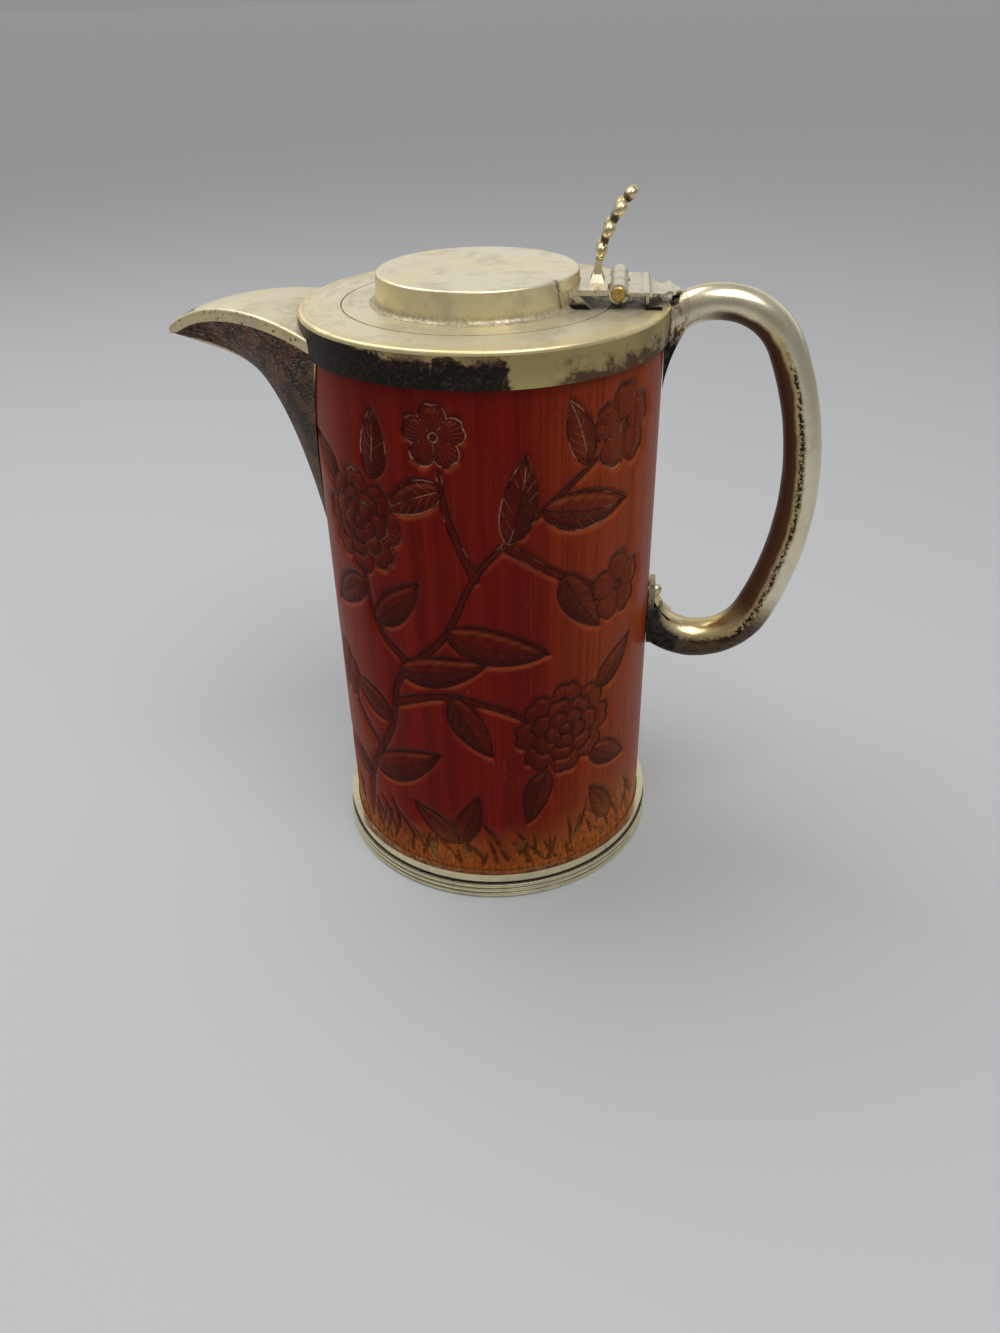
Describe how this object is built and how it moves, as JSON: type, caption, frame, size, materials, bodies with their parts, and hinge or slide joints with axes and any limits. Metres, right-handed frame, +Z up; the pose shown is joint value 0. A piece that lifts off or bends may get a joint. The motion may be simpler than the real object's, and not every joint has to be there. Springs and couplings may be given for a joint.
{
  "type": "covered jug",
  "caption": "Cylindrical bamboo jug in silver-plated mounts, with a beak spout, a loop handle and a flat lid on a pinned hinge with a thumbpiece.",
  "frame": {"origin": "centre of the flat foot, on the axis of the round body, where the jug stands", "axes": "+Z up along the axis of the body, handle toward +X, spout toward -X, hinge pin along Y"},
  "size_m": [0.1922, 0.1072, 0.2076],
  "materials": {
    "silver_plate": "worn silver plate, warm, brushed by wear, with dark tarnish",
    "carved_bamboo": "varnished red-brown bamboo with shallow carving",
    "liner_metal": "dull plated sheet",
    "pin_brass": "worn brass"
  },
  "bodies": {
    "jug": {"bamboo_body": "carved_bamboo", "base_plate": "silver_plate", "base_ring": "silver_plate", "inner_liner": "liner_metal", "pour_sleeve": "liner_metal", "collar_band": "silver_plate", "top_plate": "silver_plate", "mouth_ring": "silver_plate", "spout_shell": "silver_plate", "spout_cover": "silver_plate", "handle_tube": "silver_plate", "handle_root": "silver_plate", "handle_foot": "silver_plate", "foot_rivet": "silver_plate", "rivet_rove": "pin_brass", "hinge_fixed_leaf": "silver_plate", "hinge_pin": "pin_brass"},
    "lid": {"lid_disc": "silver_plate", "lid_bezel": "silver_plate", "lid_crown": "silver_plate", "lid_hinge_leaf": "silver_plate", "thumbpiece": "silver_plate"}
  },
  "joints": [
    {"name": "lid_hinge", "type": "hinge", "parent": "jug", "child": "lid", "pos_m": [0.0373, 0, 0.1828], "axis": [0, 1, 0], "range_deg": [0, 72]}
  ]
}
